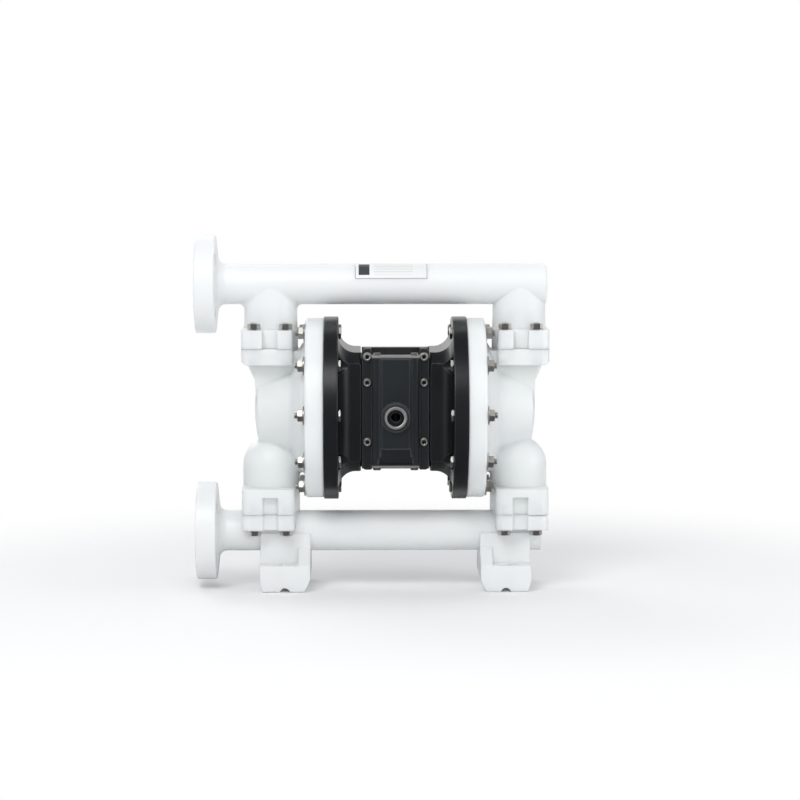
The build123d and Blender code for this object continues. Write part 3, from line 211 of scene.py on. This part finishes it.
def moulded_white(name, warm, cool, pipe_height=None, edge_round=0.003):
    """Milky plastic. Where a pipe height is given, its flange face gets gasket grooves."""
    material, tree, output = blank_material(name)
    place = shader(tree, "ShaderNodeTexCoord").outputs["Object"]
    mottle = shader(tree, "ShaderNodeTexNoise", {"Vector": place, "Scale": 14.0, "Detail": 4.0})
    tone = shader(tree, "ShaderNodeMix",
                  {"Factor": mottle.outputs["Fac"], 6: (*warm, 1), 7: (*cool, 1)},
                  data_type="RGBA")
    axes = shader(tree, "ShaderNodeSeparateXYZ", {0: place})
    grain = shader(tree, "ShaderNodeTexNoise", {"Vector": place, "Scale": 900.0, "Detail": 2.0})
    ripple = shader(tree, "ShaderNodeTexNoise", {"Vector": place, "Scale": 42.0, "Detail": 1.0})
    soft = shader(tree, "ShaderNodeBevel", {"Radius": edge_round}, samples=6)
    low = shader(tree, "ShaderNodeBump",
                 {"Strength": 0.22, "Distance": 0.0012, "Height": ripple.outputs["Fac"],
                  "Normal": soft.outputs[0]})
    fine = shader(tree, "ShaderNodeBump",
                  {"Strength": 0.18, "Distance": 0.0002, "Height": grain.outputs["Fac"],
                   "Normal": low.outputs[0]})
    normal = fine.outputs[0]
    if pipe_height is not None:
        centred = shader(tree, "ShaderNodeVectorMath",
                         {0: place, 1: (0, 0, pipe_height)}, operation="SUBTRACT")
        flat = shader(tree, "ShaderNodeVectorMath", {0: centred.outputs[0], 1: (0, 1, 1)},
                      operation="MULTIPLY")
        radius = shader(tree, "ShaderNodeVectorMath", {0: flat.outputs[0]}, operation="LENGTH")
        wave = shader(tree, "ShaderNodeMath",
                      {0: radius.outputs["Value"], 1: 2 * pi / groove_pitch},
                      operation="MULTIPLY")
        groove = shader(tree, "ShaderNodeMath", {0: wave.outputs[0]}, operation="SINE")
        inside = shader(tree, "ShaderNodeMath", {0: radius.outputs["Value"], 1: groove_reach},
                        operation="LESS_THAN")
        front = shader(tree, "ShaderNodeMath",
                       {0: axes.outputs["X"], 1: flange_face + groove_skin},
                       operation="LESS_THAN")
        where = shader(tree, "ShaderNodeMath", {0: inside.outputs[0], 1: front.outputs[0]},
                       operation="MULTIPLY")
        height = shader(tree, "ShaderNodeMath", {0: groove.outputs[0], 1: where.outputs[0]},
                        operation="MULTIPLY")
        grooved = shader(tree, "ShaderNodeBump",
                         {"Strength": 0.8, "Distance": 0.0005, "Height": height.outputs[0],
                          "Normal": fine.outputs[0]})
        normal = grooved.outputs[0]
    rough = shader(tree, "ShaderNodeMapRange",
                   {"Value": mottle.outputs["Fac"], "To Min": 0.30, "To Max": 0.44})
    body = shader(tree, "ShaderNodeBsdfPrincipled",
                  {"Base Color": tone.outputs[2], "Roughness": rough.outputs[0], "Normal": normal,
                   "Subsurface Weight": 0.55, "Subsurface Radius": (1.0, 0.95, 0.85),
                   "Subsurface Scale": 0.016, "IOR": 1.49})
    tree.links.new(body.outputs[0], output.inputs["Surface"])
    return material


def dress(material, *names):
    """Give CAD nodes a material in place of their plain one."""
    for name in names:
        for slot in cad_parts[name].material_slots:
            slot.material = material


for name, height in pipe_heights.items():
    dress(moulded_white(name + "_plastic", (0.83, 0.845, 0.83), (0.85, 0.87, 0.875), height),
          name)
dress(moulded_white("fluid_cap_plastic", (0.80, 0.82, 0.80), (0.84, 0.865, 0.87)),
      "fluid_cap_left", "fluid_cap_right", "outer_plate_left", "outer_plate_right")

# --- Black air end -----------------------------------------------------------------------
# Air caps, centre body and valve block are glass filled nylon with a satin moulded skin.
# The muffler is coarser, and gaskets, seals and diaphragms are dull black rubber.
# The pale grey that is painted on the black parts' edges as a highlight.
edge_highlight_grey = (0.16, 0.17, 0.18, 1)


def moulded_black(name, colour, roughness, grain_size=700.0, painted_highlight_strength=0.45, edge_round=0.0014):
    """Satin black plastic with a fine pebble grain, greyer patches and a painted highlight on its
    edges.
    """
    material, tree, output = blank_material(name)
    place = shader(tree, "ShaderNodeTexCoord").outputs["Object"]
    cloud = shader(tree, "ShaderNodeTexNoise", {"Vector": place, "Scale": 18.0, "Detail": 5.0})
    paler = tuple(min(1.0, c * 1.5 + 0.004) for c in colour)
    tone = shader(tree, "ShaderNodeMix",
                  {"Factor": cloud.outputs["Fac"], 6: (*colour, 1), 7: (*paler, 1)},
                  data_type="RGBA")
    pebble = shader(tree, "ShaderNodeTexVoronoi", {"Vector": place, "Scale": grain_size})
    soft = shader(tree, "ShaderNodeBevel", {"Radius": edge_round}, samples=4)
    facing = shader(tree, "ShaderNodeNewGeometry").outputs["Normal"]
    turn = shader(tree, "ShaderNodeVectorMath", {0: soft.outputs[0], 1: facing},
                  operation="DOT_PRODUCT")
    # Painted highlight: at edges, where the rounded normal turns away from the true one, the colour
    # is mixed towards a pale grey as though the edges caught the light.
    highlight_share = shader(tree, "ShaderNodeMapRange",
                    {"Value": turn.outputs["Value"], "From Min": 0.998, "From Max": 0.90,
                     "To Max": painted_highlight_strength})
    highlighted_tone = shader(tree, "ShaderNodeMix",
                  {"Factor": highlight_share.outputs[0], 6: tone.outputs[2], 7: edge_highlight_grey},
                  data_type="RGBA")
    bump = shader(tree, "ShaderNodeBump",
                  {"Strength": 0.25, "Distance": 0.0002, "Height": pebble.outputs["Distance"],
                   "Normal": soft.outputs[0]})
    rough = shader(tree, "ShaderNodeMapRange",
                   {"Value": cloud.outputs["Fac"], "To Min": roughness - 0.06,
                    "To Max": roughness + 0.08})
    body = shader(tree, "ShaderNodeBsdfPrincipled",
                  {"Base Color": highlighted_tone.outputs[2], "Roughness": rough.outputs[0],
                   "Normal": bump.outputs[0], "IOR": 1.53})
    tree.links.new(body.outputs[0], output.inputs["Surface"])
    return material


dress(moulded_black("air_cap_plastic", (0.0050, 0.0058, 0.0068), 0.30),
      "air_cap_left", "air_cap_right")
dress(moulded_black("center_body_plastic", (0.0055, 0.0060, 0.0068), 0.42), "center_body")
dress(moulded_black("valve_block_plastic", (0.0095, 0.0125, 0.0145), 0.34, painted_highlight_strength=0.6,
                    edge_round=0.0032), "valve_block")
dress(moulded_black("muffler_plastic", (0.012, 0.012, 0.013), 0.70, 300.0), "muffler")
rubber_nodes = [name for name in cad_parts
                if "gasket" in name or "o_rings" in name or "seals" in name]
dress(moulded_black("seal_rubber", (0.014, 0.014, 0.014), 0.62, 1200.0), *rubber_nodes)
dress(moulded_black("diaphragm_rubber", (0.016, 0.016, 0.017), 0.58),
      "diaphragm_left", "diaphragm_right")


# --- Plain metal pieces ------------------------------------------------------------------
# End plates, rods, sleeves, bushes and fasteners: rolled, turned or ground metal, whose
# fine marks run one way.
def turned_metal(name, colour, roughness, streak=(1, 1, 60)):
    """Metal with fine marks that run one way, set by how the noise is stretched."""
    material, tree, output = blank_material(name)
    place = shader(tree, "ShaderNodeTexCoord").outputs["Object"]
    stretched = shader(tree, "ShaderNodeMapping", {"Vector": place, "Scale": streak})
    marks = shader(tree, "ShaderNodeTexNoise",
                   {"Vector": stretched.outputs[0], "Scale": 60.0, "Detail": 4.0})
    rough = shader(tree, "ShaderNodeMapRange",
                   {"Value": marks.outputs["Fac"], "To Min": roughness - 0.08,
                    "To Max": roughness + 0.10})
    bump = shader(tree, "ShaderNodeBump",
                  {"Strength": 0.12, "Distance": 0.0001, "Height": marks.outputs["Fac"]})
    darker = tuple(c * 0.82 for c in colour)
    tone = shader(tree, "ShaderNodeMix",
                  {"Factor": marks.outputs["Fac"], 6: (*darker, 1), 7: (*colour, 1)},
                  data_type="RGBA")
    body = shader(tree, "ShaderNodeBsdfPrincipled",
                  {"Base Color": tone.outputs[2], "Metallic": 1.0, "Roughness": rough.outputs[0],
                   "Normal": bump.outputs[0]})
    tree.links.new(body.outputs[0], output.inputs["Surface"])
    return material


dress(turned_metal("end_plate_steel", (0.91, 0.91, 0.90), 0.50, (1, 40, 1)),
      "valve_top_plate", "valve_bottom_plate")
dress(turned_metal("rod_steel", (0.70, 0.70, 0.70), 0.22),
      "diaphragm_rod", "pilot_rod", "rod_screws", "air_cap_screws_left", "air_cap_screws_right")
dress(turned_metal("machined_aluminium", (0.78, 0.79, 0.81), 0.32),
      "valve_spool", "inner_plate_left", "inner_plate_right")
# The valve sleeve is painted near black. It stands in for the shade seen down the air inlet, which
# looks through to it.
dress(turned_metal("shade_dark_aluminium", (0.05, 0.05, 0.055), 0.45), "valve_sleeve")
dress(turned_metal("bush_bronze", (0.62, 0.43, 0.22), 0.34),
      "rod_bush_left", "rod_bush_right", "pilot_sleeve")
fastener_steel = turned_metal("fastener_steel", (0.66, 0.65, 0.62), 0.30)
fastener_names = [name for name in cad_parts
                  if name.endswith(("_bolts", "_nuts", "_washers", "_screws", "_inserts"))
                  or name.startswith(("cap_bolts", "cap_nuts", "cap_washers"))]
dress(fastener_steel, *[n for n in fastener_names if not n.startswith(("rod_", "air_cap"))])

# --- Balls and seats ---------------------------------------------------------------------
# PTFE balls on lapped PTFE seats, inside the four valves. They take the white plastic's
# recipe in a slightly warmer tone.
inner_names = [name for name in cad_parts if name.startswith(("check_ball", "ball_seat"))]
dress(moulded_white("ptfe", (0.86, 0.86, 0.84), (0.88, 0.88, 0.87)), *inner_names)

# --- Rim fasteners -----------------------------------------------------------------------
# Ten M10 hexagon bolts a side clamp each fluid cap, diaphragm and air cap together. Their
# heads lie on the black rim, and broad washers and nuts on the white one. Stainless steel.
bolt_radius = 0.005
thread_pitch = 0.0015
thread_depth = 0.0009
across_flats = 0.017
chamfer_rows = (0.0, 0.00025, 0.0005, 0.00075, 0.0010)
chamfer_slope = 1.73       # how fast the 30 degree chamfer widens down the flats
head_height = 0.0064       # of a bolt's head in the CAD, from its seat
rim_head_height = 0.0044   # of a rim bolt's head here, lower than in the CAD
hole_play = 0.00005
countersink = 0.0006
tip_chamfer = 0.0009
sharp_angle = radians(28)


def turned(rings, flats=1.0, pitch=1.0, turns=36, ring_shaped=False):
    """A closed turned surface with hexagon flats and a thread, as points and faces.

    Ring k has radius r, height z, and may have a thread depth d and flats of its own. Its
    points lie at angle t, at
    min(r - d * triangle(z / pitch - t / 2 pi), half the flats / cos(t mod 60 - 30 degrees)).
    """
    rings = np.array([(*ring, *(0.0, flats)[len(ring) - 2:]) for ring in rings])
    radius, height, depth, flats = (rings[:, k:k + 1] for k in range(4))
    t = np.linspace(0, 2 * pi, turns, endpoint=False)[None, :]
    turns_up = height / pitch - t / (2 * pi)
    radius = radius - depth * 2 * np.abs(turns_up - np.floor(turns_up + 0.5))
    radius = np.minimum(radius, 0.5 * flats / np.cos(t % (pi / 3) - pi / 6))
    points = np.stack([radius * np.cos(t), radius * np.sin(t), height + 0 * t], 2).reshape(-1, 3)
    rows = len(rings) if ring_shaped else len(rings) - 1
    row, step = np.meshgrid(np.arange(rows), np.arange(turns), indexing="ij")
    above, beside = (row + 1) % len(rings), (step + 1) % turns
    faces = np.stack([row * turns + step, row * turns + beside, above * turns + beside,
                      above * turns + step], 2).reshape(-1, 4).tolist()
    if not ring_shaped:
        faces.append(list(range(turns))[::-1])
        faces.append(list(range((len(rings) - 1) * turns, len(rings) * turns)))
    return points, faces


def repeated(name, shape, places, matrix, material):
    """One piece made of copies of a shape, turned by a matrix and set at each place."""
    points, faces = shape
    turned_points = points @ np.array(matrix, float).T
    everywhere = (turned_points[None] + np.array(places)[:, None]).reshape(-1, 3)
    copies = [[v + k * len(points) for v in face] for k in range(len(places)) for face in faces]
    mesh = bpy.data.meshes.new(name)
    mesh.from_pydata(everywhere.tolist(), [], copies)
    mesh.update()
    mesh.shade_smooth()
    mesh.set_sharp_from_angle(angle=sharp_angle)
    mesh.materials.append(material)
    piece = bpy.data.objects.new(name, mesh)
    bpy.context.collection.objects.link(piece)
    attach(piece, "pump")
    return piece


def hexagon_rings(flats, bottom, top):
    """Rings of a hexagon with both ends chamfered, from bottom up."""
    face_radius = 0.475 * flats
    low = [(face_radius + chamfer_slope * d, bottom + d) for d in chamfer_rows]
    high = [(face_radius + chamfer_slope * d, top - d) for d in reversed(chamfer_rows)]
    return low + high


def threaded_end(start, end, radius=bolt_radius, pitch=thread_pitch):
    """Rings of a thread that ends in a chamfered tip."""
    rows = int((end - start) / (pitch / 6))
    thread = [(radius, z, thread_depth) for z in np.linspace(start, end - tip_chamfer, rows)]
    return thread + [(radius - thread_depth - 0.0001, end)]


def bolt_shape(flats, head, grip, end, radius=bolt_radius, pitch=thread_pitch):
    """A bolt standing on its head's seat at height 0: head below, shank and thread above."""
    hexagon = hexagon_rings(flats, -head, 0.0)
    shank = [(radius, 0.0), (radius, grip)]
    return turned(hexagon + shank + threaded_end(grip, end, radius, pitch), flats, pitch)


def nut_shape(flats, height, radius=bolt_radius):
    """A nut with chamfered flats and a countersunk hole."""
    hole = radius + hole_play
    outside = hexagon_rings(flats, 0.0, height)
    inside = [(hole + countersink, height), (hole, height - countersink), (hole, countersink)]
    return turned([(hole + countersink, 0.0)] + outside + inside, flats, ring_shaped=True)


def washer_shape(outer, height, radius=bolt_radius):
    """A flat washer with its outer edges rolled over."""
    hole = radius + hole_play
    edge = 0.3 * height
    return turned([(hole, 0.0), (outer - edge, 0.0), (outer, edge), (outer, height - edge),
                   (outer - edge, height), (hole, height)], ring_shaped=True)


rim_washer_radius = 0.0145
rim_bolt_count = 10
rim_thread_run_in = 0.002
bolt_turn = np.radians(180 + 360 / rim_bolt_count * np.arange(rim_bolt_count))
for side, matrix in (("left", ((0, 0, -1), (-1, 0, 0), (0, 1, 0))),
                     ("right", ((0, 0, 1), (1, 0, 0), (0, 1, 0)))):
    sign = matrix[0][2]
    spans = {kind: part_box(f"cap_{kind}_{side}") for kind in ("bolts", "nuts", "washers")}
    near = {kind: min(abs(low[0]), abs(high[0])) for kind, (low, high) in spans.items()}
    far = {kind: max(abs(low[0]), abs(high[0])) for kind, (low, high) in spans.items()}
    circle = 0.5 * (spans["washers"][1][1] - spans["washers"][0][1]) - rim_washer_radius

    def rim_places(reach):
        """Centres of the rim bolts at a distance from the middle of the pump."""
        return np.stack([np.full(rim_bolt_count, sign * reach), circle * np.cos(bolt_turn),
                         pump_axis + circle * np.sin(bolt_turn)], 1)

    seat = near["bolts"] + head_height
    grip = far["nuts"] - rim_thread_run_in - seat
    bolts = repeated(f"rim_bolts_{side}",
                     bolt_shape(across_flats, rim_head_height, grip, far["bolts"] - seat),
                     rim_places(seat), matrix, fastener_steel)
    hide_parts(f"cap_bolts_{side}")
    nuts = repeated(f"rim_nuts_{side}", nut_shape(across_flats, far["nuts"] - near["nuts"]),
                    rim_places(near["nuts"]), matrix, fastener_steel)
    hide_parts(f"cap_nuts_{side}")
    washers = repeated(f"rim_washers_{side}",
                       washer_shape(rim_washer_radius, far["washers"] - near["washers"]),
                       rim_places(near["washers"]), matrix, fastener_steel)
    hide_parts(f"cap_washers_{side}")

# --- Manifold fasteners ------------------------------------------------------------------
# Four M10 bolts stand in each of the four joints. The upper ones take washers and nuts on
# top. The lower ones go up into inserts, so only their heads and washers show.
joint_washer_radius = 0.0105
bolt_tip = 0.0012
port_reach = 0.190
joint_x, joint_y = 0.024, 0.050
joint_thread_length = 0.016
upward = ((1, 0, 0), (0, 1, 0), (0, 0, 1))


def joint_places(height):
    """Centres of the eight joint bolts of a manifold at a height."""
    return [(port + x * joint_x, y * joint_y, height)
            for port in (-port_reach, port_reach) for x in (-1, 1) for y in (-1, 1)]


for name in ("discharge", "suction"):
    low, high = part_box(f"{name}_bolts")
    seat = low[2] + head_height
    grip = high[2] - joint_thread_length - seat
    tip = high[2] if name == "suction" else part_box("discharge_nuts")[1][2] + bolt_tip
    bolts = repeated(f"{name}_joint_bolts",
                     bolt_shape(across_flats, head_height, grip, tip - seat),
                     joint_places(seat), upward, fastener_steel)
    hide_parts(f"{name}_bolts")
    low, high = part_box(f"{name}_washers")
    washers = repeated(f"{name}_joint_washers",
                       washer_shape(joint_washer_radius, high[2] - low[2]),
                       joint_places(low[2]), upward, fastener_steel)
    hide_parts(f"{name}_washers")
low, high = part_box("discharge_nuts")
nuts = repeated("discharge_joint_nuts", nut_shape(across_flats, high[2] - low[2]),
                joint_places(low[2]), upward, fastener_steel)
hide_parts("discharge_nuts")

# --- Valve block screws ------------------------------------------------------------------
# Six button head screws with hexagon sockets hold the valve block to the centre body. The
# sockets are painted dark, as shade inside them.
screw_shank, screw_head, screw_rise, screw_socket = 0.004, 0.0070, 0.005, 0.006
screw_column = 0.0428
screw_levels = (0.084, 0.045, -0.045)
low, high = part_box("valve_screws")
dome_middle, dome_foot = 0.0034, 0.0016
socket_mouth, socket_corner, socket_chamfer, socket_floor = 0.0038, 0.0036, 0.0004, 0.0010
dome_turn = np.radians(np.linspace(0, 62, 7))
dome = [(dome_middle + (screw_head - dome_middle) * np.cos(a),
         dome_foot + (screw_rise - dome_foot) * np.sin(a) / np.sin(dome_turn[-1]))
        for a in dome_turn]
socket = [(socket_mouth, screw_rise),
          (socket_corner, screw_rise - socket_chamfer, 0.0, screw_socket),
          (socket_corner, socket_floor, 0.0, screw_socket)]
shank = [(screw_shank, low[1] + screw_rise - high[1]), (screw_shank, 0.0)]
screw = shank + [(screw_head, 0.0)] + dome + socket
places = [(x * screw_column, low[1] + screw_rise, pump_axis + z)
          for x in (-1, 1) for z in screw_levels]
outward = ((1, 0, 0), (0, 0, -1), (0, 1, 0))
# Painted shade: a near black finish stands in for the shade deep in sockets and bores.
hollow_shade_finish, tree, output = blank_material("painted_hollow_shade")
body = shader(tree, "ShaderNodeBsdfPrincipled",
              {"Base Color": (0.010, 0.010, 0.011, 1), "Roughness": 0.45})
tree.links.new(body.outputs[0], output.inputs["Surface"])


def paint_hollow_shade(piece, mouths, reach):
    """Paint shade on the faces behind each mouth, within a reach of its middle, with a dark finish.
    """
    mesh = piece.data
    mesh.materials.append(hollow_shade_finish)
    centres = np.empty(3 * len(mesh.polygons))
    mesh.polygons.foreach_get("center", centres)
    away = centres.reshape(1, -1, 3) - np.array(mouths)[:, None]
    inside = (np.hypot(away[..., 0], away[..., 2]) < reach) & (away[..., 1] > 0)
    mesh.polygons.foreach_set("material_index", inside.any(0).astype(np.int32))
    mesh.update()


screws = repeated("valve_button_screws", turned(screw), places, outward,
                  turned_metal("screw_steel", (0.88, 0.87, 0.84), 0.50))
socket_mouth_depth, socket_share = 0.0002, 0.55
paint_hollow_shade(screws, [(x, low[1] + socket_mouth_depth, z) for x, y, z in places],
              socket_share * screw_socket)
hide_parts("valve_screws")

# --- Air inlet bush ----------------------------------------------------------------------
# A bright steel bush pressed into the boss on the valve block, threaded for the air fitting.
# Its bore is painted dark, as shade.
low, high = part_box("air_inlet_bush")
bush_radius = 0.5 * (high[0] - low[0])
bush_length = high[1] - low[1]
bore_radius = 0.0123
bore_pitch = 0.0018
bore_depth = 0.0011
bore_margin = 0.0005
bush_chamfer = 0.001
mouth = 0.0014
bore_mouth_depth = 0.0008
bush_middle = ((low[0] + high[0]) / 2, (low[2] + high[2]) / 2)
thread = [(bore_radius + bore_depth, z, bore_depth)
          for z in np.arange(bore_margin, bush_length - bore_margin, bore_pitch / 6)]
rings = [(bore_radius + bore_depth, 0.0), (bush_radius, 0.0),
         (bush_radius, bush_length - bush_chamfer), (bush_radius - bush_chamfer, bush_length),
         (bore_radius + mouth, bush_length)] + thread[::-1]
bush = repeated("air_inlet_thread", turned(rings, pitch=bore_pitch, turns=72, ring_shaped=True),
                [(bush_middle[0], high[1], bush_middle[1])], outward,
                turned_metal("inlet_thread_steel", (0.93, 0.93, 0.91), 0.52))
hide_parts("air_inlet_bush")
paint_hollow_shade(bush, [(bush_middle[0], low[1] + bore_mouth_depth, bush_middle[1])],
              bore_radius + bore_depth)

# --- Pipe label --------------------------------------------------------------------------
# A blank white foil label on the upper front of the discharge pipe, with a plain dark block
# and plain grey rules printed on it.
label_start, label_end = -0.061, 0.049
label_low, label_high = radians(17), radians(112)
pipe_radius = 0.031
label_lift = 0.00025
label_clearance = 0.00003
label_edge = 0.0006        # width over which the foil's edge comes down to the pipe
across_steps, around_steps = 60, 40
x, angle = np.meshgrid(np.linspace(label_start, label_end, across_steps),
                       np.linspace(label_low, label_high, around_steps), indexing="ij")
# A label point lies on the pipe's circle: y = -r cos(angle), z = pipe height + r sin(angle).
edge = np.minimum(np.minimum(x - label_start, label_end - x),
                  pipe_radius * np.minimum(angle - label_low, label_high - angle))
radius = pipe_radius + label_lift * np.clip(edge / label_edge, 0, 1) + label_clearance
points = np.stack([x, -radius * np.cos(angle),
                   pipe_heights["discharge_manifold"] + radius * np.sin(angle)], 2)
row, step = np.meshgrid(np.arange(across_steps - 1), np.arange(around_steps - 1), indexing="ij")
corner = row * around_steps + step
faces = np.stack([corner, corner + around_steps, corner + around_steps + 1, corner + 1], 2)
faces = faces.reshape(-1, 4)
label = mesh_piece("pipe_label", points.reshape(-1, 3), faces, 40)
printed = label.data.uv_layers.new(name="print")
loops = np.array([loop.vertex_index for loop in label.data.loops])
u = ((x - label_start) / (label_end - label_start)).reshape(-1)[loops]
v = ((angle - label_low) / (label_high - label_low)).reshape(-1)[loops]
printed.data.foreach_set("uv", np.stack([u, v], 1).reshape(-1))
label_material, tree, output = blank_material("label_foil")
uv = shader(tree, "ShaderNodeUVMap", uv_map="print").outputs[0]
axes = shader(tree, "ShaderNodeSeparateXYZ", {0: uv})


def between(tree, value, low, high):
    """1 where low < value < high, else 0."""
    above = shader(tree, "ShaderNodeMath", {0: value, 1: low}, operation="GREATER_THAN")
    below = shader(tree, "ShaderNodeMath", {0: value, 1: high}, operation="LESS_THAN")
    return shader(tree, "ShaderNodeMath", {0: above.outputs[0], 1: below.outputs[0]},
                  operation="MULTIPLY").outputs[0]


def product(tree, a, b):
    """The two values multiplied."""
    return shader(tree, "ShaderNodeMath", {0: a, 1: b}, operation="MULTIPLY").outputs[0]


# The print's places are shares of the label's length (X) and of its way round the pipe (Y).
block_span, rule_span, print_rise = (0.05, 0.20), (0.26, 0.80), (0.12, 0.62)
border_span, border_rise = (0.012, 0.988), (0.03, 0.97)
rule_count, rule_share = 9.0, 0.14
block = product(tree, between(tree, axes.outputs["X"], *block_span),
                between(tree, axes.outputs["Y"], *print_rise))
stripes = shader(tree, "ShaderNodeMath", {0: axes.outputs["Y"], 1: rule_count},
                 operation="MULTIPLY")
stripe = shader(tree, "ShaderNodeMath", {0: stripes.outputs[0]}, operation="FRACT")
rule = product(tree, between(tree, stripe.outputs[0], 0.0, rule_share),
               between(tree, axes.outputs["Y"], *print_rise))
rules = product(tree, rule, between(tree, axes.outputs["X"], *rule_span))
inner = product(tree, between(tree, axes.outputs["X"], *border_span),
                between(tree, axes.outputs["Y"], *border_rise))
border = shader(tree, "ShaderNodeMath", {0: 1.0, 1: inner}, operation="SUBTRACT")
grey = shader(tree, "ShaderNodeMath", {0: rules, 1: border.outputs[0]}, operation="MAXIMUM")
foil_white, rule_grey = (0.80, 0.81, 0.80, 1), (0.50, 0.50, 0.49, 1)
block_dark = (0.06, 0.06, 0.065, 1)
pale = shader(tree, "ShaderNodeMix", {"Factor": grey.outputs[0], 6: foil_white, 7: rule_grey},
              data_type="RGBA")
tone = shader(tree, "ShaderNodeMix", {"Factor": block, 6: pale.outputs[2], 7: block_dark},
              data_type="RGBA")
foil = shader(tree, "ShaderNodeBsdfPrincipled",
              {"Base Color": tone.outputs[2], "Roughness": 0.28})
tree.links.new(foil.outputs[0], output.inputs["Surface"])
label.data.materials.append(label_material)
backing = label.modifiers.new("backing", "SOLIDIFY")
backing.thickness = 0.0002         # the foil's own
backing.offset = -1
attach(label, "pump")
